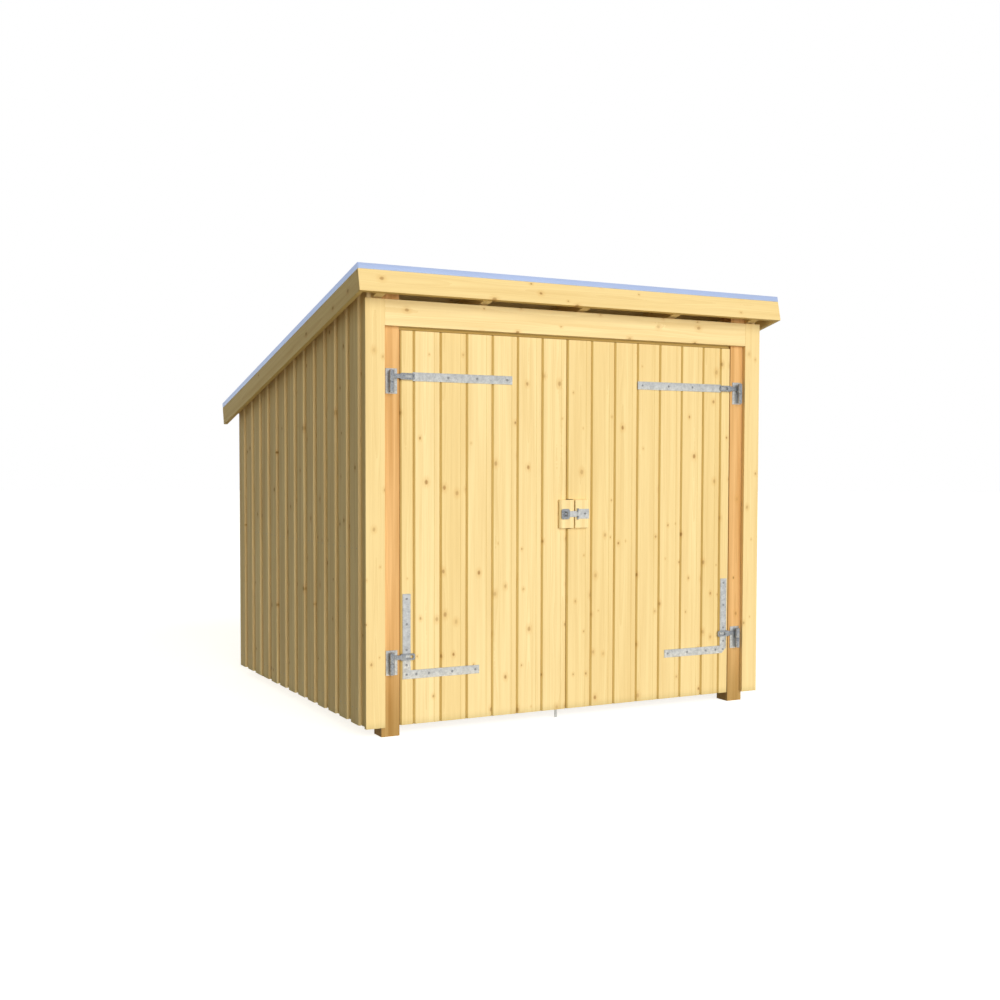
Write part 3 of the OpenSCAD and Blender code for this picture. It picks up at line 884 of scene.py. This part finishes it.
class SHELTER_OT_felt(bpy.types.Operator):
    """Courses of roofing felt, each lapped over the one below it"""

    bl_idname = "shelter.felt"
    bl_label = "Roofing felt"

    # Rounding of a sheet's edges, how deep a lap sinks into the sheet, and its edge's waviness
    edge = 0.0004
    sunk = 0.0002
    wavy = 0.0015

    def execute(self, context):
        boards = settings().boards
        bm = bmesh.new()
        low, high = roof_box("roofing_felt")
        half = (low.z + high.z) / 2
        count = math.ceil((high.y - low.y) / boards.felt_course)
        course = (high.y - low.y) / count
        dice = random.Random(160)
        for i in range(count):
            start = low.y + i * course
            end = start + course
            sheet = new_box(bm, Vector((low.x, start, low.z)), Vector((high.x, end, half)))
            ease(bm, parts_of(sheet, "link_edges"), self.edge, 1)
            if i < count - 1:
                lap = new_box(
                    bm,
                    Vector((low.x, end - boards.felt_lap / 2, half - self.sunk)),
                    Vector((high.x, end + boards.felt_lap / 2, high.z)),
                )
                long = [e for e in parts_of(lap, "link_edges") if e.calc_length() > 1]
                cut = bmesh.ops.subdivide_edges(bm, edges=long, cuts=40)
                for v in cut["geom_inner"]:
                    if isinstance(v, bmesh.types.BMVert) and v.co.y > end:
                        v.co.y += dice.uniform(-self.wavy, self.wavy)
        piece(
            "roofing_felt_courses", bm, "shelter", mineral_felt(), ["roofing_felt"],
            roof_turn(),
        )
        return {"FINISHED"}


class SHELTER_OT_edge_trims(bpy.types.Operator):
    """Folded sheet edging round the roof"""

    bl_idname = "shelter.edge_trims"
    bl_label = "Roof edging"

    def execute(self, context):
        for side in ("front", "back", "left", "right"):
            name = side + "_edge_trim"
            bm = bmesh.new()
            copy_node(bm, name)
            ease(bm, sharp_edges(bm.faces), settings().metal.edge)
            piece(name + "_folded", bm, "shelter", enamelled_edging(), [name])
        return {"FINISHED"}


# ---- Metal fittings ----


def steel_copy(node, body, forged_and_shaded=None, corners=(), size=0.0, segments=1, split=None):
    """A CAD fitting with its edges rounded, in galvanised steel.

    Where the predicate given holds true for a face's centre, the face takes the darker rod
    finish, painted shade on an eye, a loop, a knuckle or a staple. The corners of its outline that
    stand at one of these (x, z) points are cut or rounded by a size. Its faces are parted at the x
    of split, so that a forging at one end has its own faces.
    """
    bm = bmesh.new()
    copy_node(bm, node)
    if split is not None:
        geom = bm.verts[:] + bm.edges[:] + bm.faces[:]
        bmesh.ops.bisect_plane(bm, geom=geom, dist=NEAR, plane_co=(split, 0, 0), plane_no=(1, 0, 0))

    def stands_at(edge, x, z):
        return all(abs(v.co.x - x) + abs(v.co.z - z) < NEAR for v in edge.verts)

    cut = [e for e in sharp_edges(bm.faces) if any(stands_at(e, x, z) for x, z in corners)]
    if cut:
        ease(bm, cut, size, segments)
    ease(bm, sharp_edges(bm.faces), settings().metal.edge)
    if forged_and_shaded is not None:
        for face in bm.faces:
            face.material_index = int(forged_and_shaded(face.calc_center_bounds()))
    made = piece(node + "_galvanised", bm, body, galvanised_steel(), [node])
    # Standing-out faces take the darker rod finish, which is painted shade
    if forged_and_shaded is not None:
        made.data.materials.append(rod_painted_shade())


def foot_edge(side):
    """The x of a lower strap's hinge-side edge, found from its lowest vertices."""
    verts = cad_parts[side + "_lower_strap"].data.vertices
    foot = min(v.co.z for v in verts)
    row = [v.co.x for v in verts if v.co.z < foot + NEAR]
    return min(row) if side == "left" else max(row)


class SHELTER_OT_hinges(bpy.types.Operator):
    """Pin plates on the posts and straps on the leaves"""

    bl_idname = "shelter.hinges"
    bl_label = "Hinges"

    # A hinge's plates are thinner than this; what stands further out is a forging, drawn in painted
    # shade
    plate = 0.0045
    # Size of the corner that is cut off the right angle strap
    corner = 0.027

    def execute(self, context):
        for side in ("left", "right"):
            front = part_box(side + "_leaf_boards")[0].y - self.plate

            def forged_and_shaded(at):
                return at.y < front

            steel_copy(side + "_pintles", "shelter", forged_and_shaded)
            steel_copy(side + "_upper_strap", side + "_door", forged_and_shaded)
            cut = [] if side == "left" else [(foot_edge(side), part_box("right_lower_strap")[0].z)]
            steel_copy(side + "_lower_strap", side + "_door", forged_and_shaded, cut, self.corner)
        return {"FINISHED"}


def screw_head(bm, at, normal, radius, height, facets, recess=True):
    """A low head with sloping sides, plain or hollow, on a point and facing a direction."""
    # Shares of the radius: the top, its rim and the recess's wall; and of the height: its depth
    flat, rim, wall, deep = 0.72, 0.3, 0.04, 0.7
    made = bmesh.ops.create_cone(
        bm, cap_ends=True, segments=facets, radius1=radius, radius2=radius * flat, depth=height
    )["verts"]
    bmesh.ops.translate(bm, vec=(0, 0, height / 2), verts=made)
    if recess:
        top = next(
            f for f in parts_of(made, "link_faces") if all(v.co.z > height / 2 for v in f.verts)
        )
        bmesh.ops.inset_individual(bm, faces=[top], thickness=radius * rim)
        bmesh.ops.inset_individual(bm, faces=[top], thickness=radius * wall)
        bmesh.ops.translate(bm, vec=(0, 0, -height * deep), verts=top.verts)
    turn = Vector((0, 0, 1)).rotation_difference(Vector(normal)).to_matrix().to_4x4()
    bmesh.ops.transform(bm, matrix=Matrix.Translation(at) @ turn, verts=list(solids_of(made)))


class SHELTER_OT_screws(bpy.types.Operator):
    """Screws in the straps of the hinges"""

    bl_idname = "shelter.screws"
    bl_label = "Screws"

    # Distances of the screws from a strap's tip, from its foot and from its hinge side
    upper_from_tip = (0.028, 0.187, 0.336)
    lower_up = (0.020, 0.064, 0.135, 0.253, 0.370)
    lower_along = (0.069, 0.132, 0.251, 0.373)
    # A strap's thickness, half its width, and a head's height
    strap = 0.004
    half = 0.020
    height = 0.0026

    def execute(self, context):
        metal = settings().metal
        for side, sign in (("left", 1), ("right", -1)):
            bm = bmesh.new()
            low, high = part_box(side + "_upper_strap")
            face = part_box(side + "_leaf_boards")[0].y - self.strap
            middle = (low.z + high.z) / 2
            tip = high.x if sign > 0 else low.x
            spots = [(tip - sign * d, middle) for d in self.upper_from_tip]
            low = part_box(side + "_lower_strap")[0]
            foot = foot_edge(side)
            spots += [(foot + sign * self.half, low.z + d) for d in self.lower_up]
            spots += [(foot + sign * d, low.z + self.half) for d in self.lower_along]
            for x, z in spots:
                at = Vector((x, face, z))
                screw_head(bm, at, (0, -1, 0), metal.screw_r, self.height, metal.facets)
            piece(side + "_strap_screws", bm, side + "_door", plated_screw())
        return {"FINISHED"}


class SHELTER_OT_latch(bpy.types.Operator):
    """Hasp, its flap, its staple and its screw"""

    bl_idname = "shelter.latch"
    bl_label = "Latch"

    # Widths of the knuckles and of the flap's forging at its end, and the rounding of the staple's plate
    knuckle = 0.009
    loop = 0.046
    rounding = 0.014
    # The hasp plate's thickness, the screw's distance from its end, and the head's height
    plate = 0.0025
    from_end = 0.022
    height = 0.0028

    def execute(self, context):
        low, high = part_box("hasp_staple")
        corners = [(x, z) for x in (low.x, high.x) for z in (low.z, high.z)]
        # The staple, the plate's knuckles and the flap's end take the darker rod finish, painted shade
        steel_copy("hasp_staple", "left_door", lambda at: True, corners, self.rounding, 4)
        low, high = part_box("hasp_plate")
        knuckle = low.x + self.knuckle
        steel_copy("hasp_plate", "right_door", lambda at: at.x < knuckle)
        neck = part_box("hasp_flap")[0].x + self.loop
        steel_copy("hasp_flap", "hasp_flap", lambda at: at.x < neck, split=neck)
        metal = settings().metal
        bm = bmesh.new()
        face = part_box("right_latch_block")[0].y - self.plate
        at = Vector((high.x - self.from_end, face, (low.z + high.z) / 2))
        screw_head(bm, at, (0, -1, 0), metal.screw_r, self.height, metal.facets)
        piece("hasp_plate_screws", bm, "right_door", plated_screw())
        return {"FINISHED"}


class SHELTER_OT_drop_bolt(bpy.types.Operator):
    """Drop bolt and its guides behind the left leaf"""

    bl_idname = "shelter.drop_bolt"
    bl_label = "Drop bolt"

    def execute(self, context):
        steel_copy("bolt_guides", "left_door")
        steel_copy("drop_bolt", "drop_bolt")
        return {"FINISHED"}


class SHELTER_OT_nails(bpy.types.Operator):
    """Round nail heads in the outer cladding boards, in line with the rails"""

    bl_idname = "shelter.nails"
    bl_label = "Nails"

    # A nail's distance from a board's edge, as a share of its width, and from its sloping top
    edge_share = 0.22
    below_top = 0.06
    # How deep a head sinks into the board, its height and its sides
    sunk = 0.0002
    height = 0.0008
    facets = 8

    def execute(self, context):
        boards, metal = settings().boards, settings().metal
        edge = boards.clad_w * self.edge_share
        for name in ("left_wall", "right_wall"):
            bm = bmesh.new()
            low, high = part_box(name)
            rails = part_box(name + "_rails")
            half = self.rail_height(name + "_rails") / 2
            top = sloped_top(name)
            out = -1 if low.x < 0 else 1
            face = low.x if out < 0 else high.x
            for y0, y1 in lapped_rows(low.y, high.y, boards.clad_start, boards.clad_pitch)[0]:
                for y in (y0 + edge, y1 - edge):
                    for z in (rails[0].z + half, rails[1].z - half, top(y) - self.below_top):
                        at = Vector((face - out * self.sunk, y, z))
                        screw_head(
                            bm, at, (out, 0, 0), metal.nail_r, self.height, self.facets, recess=False
                        )
            piece(name + "_nails", bm, "shelter", plated_screw())
        return {"FINISHED"}

    def rail_height(self, node):
        """Height of the lowest rail of a node, from its first two levels of vertices."""
        levels = sorted({round(v.co.z, 4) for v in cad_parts[node].data.vertices})
        return levels[1] - levels[0]


# ---- Studio ----


def direction(heading, height):
    """A unit vector, from its angle to the right of +Y and its height over the ground."""
    level = math.cos(height)
    return Vector((math.sin(heading) * level, math.cos(heading) * level, math.sin(height)))


class SHELTER_OT_stage(bpy.types.Operator):
    """Pale floor, soft light and the camera"""

    bl_idname = "shelter.stage"
    bl_label = "Studio"

    # The camera stands this far from the ground point under the left front corner board's edge
    camera_from_corner = Vector((-2.0258, -5.1690, 1.2303))
    heading = math.radians(27.22)
    dip = math.radians(2.40)
    roll = math.radians(0.115)
    lens = 44.41
    shift = (0.0087, 0.0195)
    # The sun stands in front, this far to the right and over the ground
    sun_side = math.radians(5)
    sun_height = math.radians(11)
    # Its breadth in the sky, its strength and its colour
    sun_size = math.radians(60)
    sun_strength = 3.12
    sun_colour = (1.0, 0.985, 0.96)
    # The studio's walls: their colour and strength as fill light, and as metal mirrors them
    fill = (1.0, 0.92, 0.58, 1.0), 0.165
    mirrored = (0.97, 0.98, 1.0, 1.0), 0.95
    plain = (1.0, 1.0, 1.0, 1.0), 1.0

    def execute(self, context):
        self.floor()
        self.light()
        self.camera()
        return {"FINISHED"}

    def floor(self):
        """A round floor that throws no light and no shadow on the shelter."""
        bm = bmesh.new()
        bmesh.ops.create_circle(bm, cap_ends=True, segments=64, radius=60)
        mesh = bpy.data.meshes.new("studio_floor")
        bm.to_mesh(mesh)
        bm.free()
        mesh.materials.append(studio_floor())
        floor = bpy.data.objects.new("studio_floor", mesh)
        floor.visible_diffuse = False
        floor.visible_shadow = False
        bpy.context.scene.collection.objects.link(floor)

    def light(self):
        """One broad sun, and a surround that each kind of ray sees in its own strength."""
        scene = bpy.context.scene
        sun = bpy.data.lights.new("key", "SUN")
        sun.energy = self.sun_strength
        sun.angle = self.sun_size
        sun.color = self.sun_colour
        key = bpy.data.objects.new("key", sun)
        key.visible_glossy = False
        scene.collection.objects.link(key)
        towards = direction(math.pi - self.sun_side, self.sun_height)
        key.rotation_euler = towards.to_track_quat("Z", "Y").to_euler()
        world = bpy.data.worlds.new("studio")
        scene.world = world
        world.use_nodes = True
        tree = world.node_tree
        tree.nodes.clear()
        ray = add(tree, "LightPath", {}).outputs
        fill, mirrored, plain = [
            add(tree, "Background", {"Color": shade, "Strength": strength})
            for shade, strength in (self.fill, self.mirrored, self.plain)
        ]
        reflected = add(tree, "MixShader", {0: ray["Is Glossy Ray"], 1: fill, 2: mirrored})
        both = add(tree, "MixShader", {0: ray["Is Camera Ray"], 1: reflected, 2: plain})
        add(tree, "OutputWorld", {"Surface": both})
        scene.view_settings.view_transform = "Standard"

    def camera(self):
        """The camera, turned by its heading, its dip and its roll."""
        scene = bpy.context.scene
        data = bpy.data.cameras.new("camera")
        data.lens = self.lens
        data.sensor_width = 36
        data.shift_x, data.shift_y = self.shift
        camera = bpy.data.objects.new("camera", data)
        scene.collection.objects.link(camera)
        forward = direction(self.heading, -self.dip)
        right = Vector((math.cos(self.heading), -math.sin(self.heading), 0))
        up = right.cross(forward)
        turned = math.cos(self.roll) * right + math.sin(self.roll) * up
        raised = -math.sin(self.roll) * right + math.cos(self.roll) * up
        axes = Matrix((turned, raised, -forward)).transposed().to_4x4()
        corner = Vector((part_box("left_wall")[0].x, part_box("left_corner_board")[0].y, 0))
        camera.matrix_world = Matrix.Translation(corner + self.camera_from_corner) @ axes
        scene.camera = camera


# ---- Add-on ----

STEPS = (
    SHELTER_OT_posts,
    SHELTER_OT_frame_timber,
    SHELTER_OT_trim_boards,
    SHELTER_OT_cladding,
    SHELTER_OT_roof_deck,
    SHELTER_OT_leaf_boards,
    SHELTER_OT_leaf_ledges,
    SHELTER_OT_felt,
    SHELTER_OT_edge_trims,
    SHELTER_OT_hinges,
    SHELTER_OT_screws,
    SHELTER_OT_latch,
    SHELTER_OT_drop_bolt,
    SHELTER_OT_nails,
    SHELTER_OT_stage,
)


class SHELTER_PT_panel(bpy.types.Panel):
    """Lists the shelter's steps and settings"""

    bl_label = "Bike shelter"
    bl_space_type = "VIEW_3D"
    bl_region_type = "UI"
    bl_category = "Shelter"

    def draw(self, context):
        for step in STEPS:
            self.layout.operator(step.bl_idname)
        for group in ("boards", "metal", "colours"):
            box = self.layout.box()
            box.label(text=group.capitalize())
            values = getattr(context.scene.shelter, group)
            for name in values.__annotations__:
                box.prop(values, name)


CLASSES = (ShelterBoards, ShelterMetal, ShelterColours, ShelterSettings, *STEPS, SHELTER_PT_panel)


def register():
    for cls in CLASSES:
        bpy.utils.register_class(cls)
    bpy.types.Scene.shelter = PointerProperty(type=ShelterSettings)


def unregister():
    del bpy.types.Scene.shelter
    for cls in reversed(CLASSES):
        bpy.utils.unregister_class(cls)


def main():
    """Builds the whole shelter and its studio."""
    register()
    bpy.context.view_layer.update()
    for step in STEPS:
        group, name = step.bl_idname.split(".")
        getattr(getattr(bpy.ops, group), name)()


if __name__ == "__main__":
    main()
